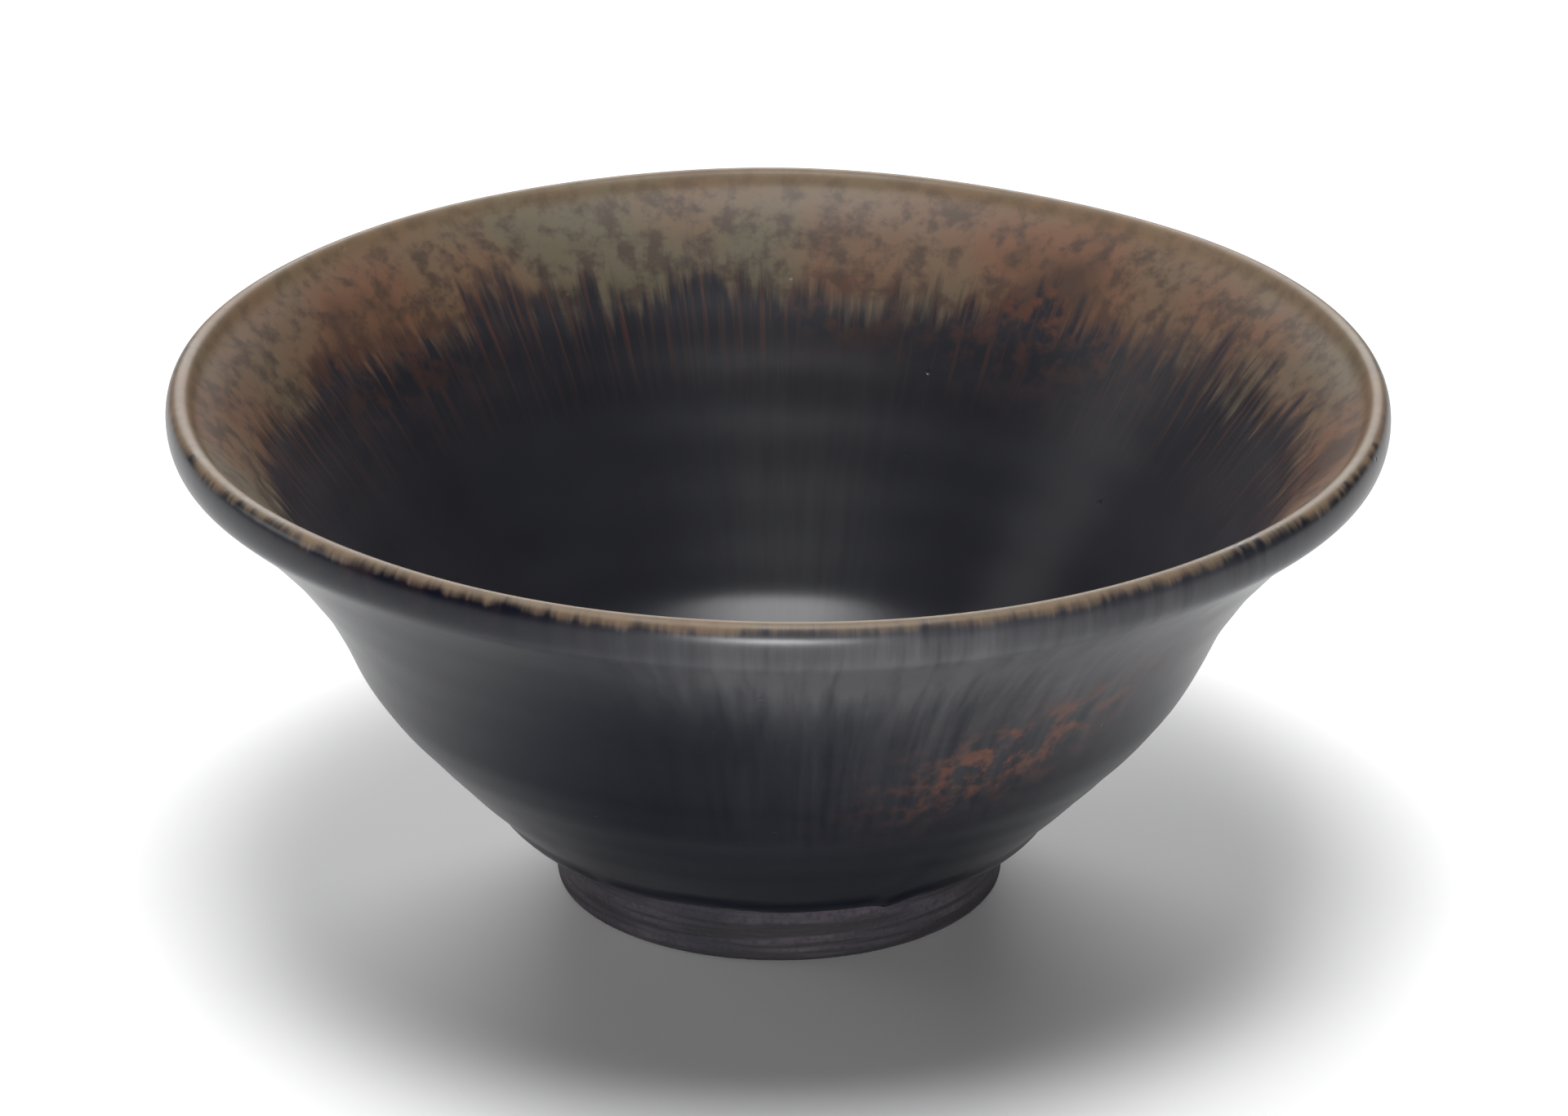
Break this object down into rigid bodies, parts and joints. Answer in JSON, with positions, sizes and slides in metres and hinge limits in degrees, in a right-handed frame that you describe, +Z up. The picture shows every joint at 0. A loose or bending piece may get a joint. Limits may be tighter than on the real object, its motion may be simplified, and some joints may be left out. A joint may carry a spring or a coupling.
{
  "type": "flared tea cup",
  "caption": "Thrown stoneware tea cup with a wide flared mouth, thick rounded lip, dark iron glaze and a small turned foot ring.",
  "frame": {"origin": "centre of the foot ring's underside, on the surface that the cup stands on", "axes": "+Z up through the middle of the mouth; X and Y across the mouth, with the mouth's low side towards +X"},
  "size_m": [0.124, 0.1236, 0.0547],
  "materials": {
    "iron_glaze": "glossy near-black iron glaze, breaking to mottled russet brown in a band inside the lip"
  },
  "bodies": {
    "root": {"cup": "iron_glaze"}
  },
  "joints": []
}
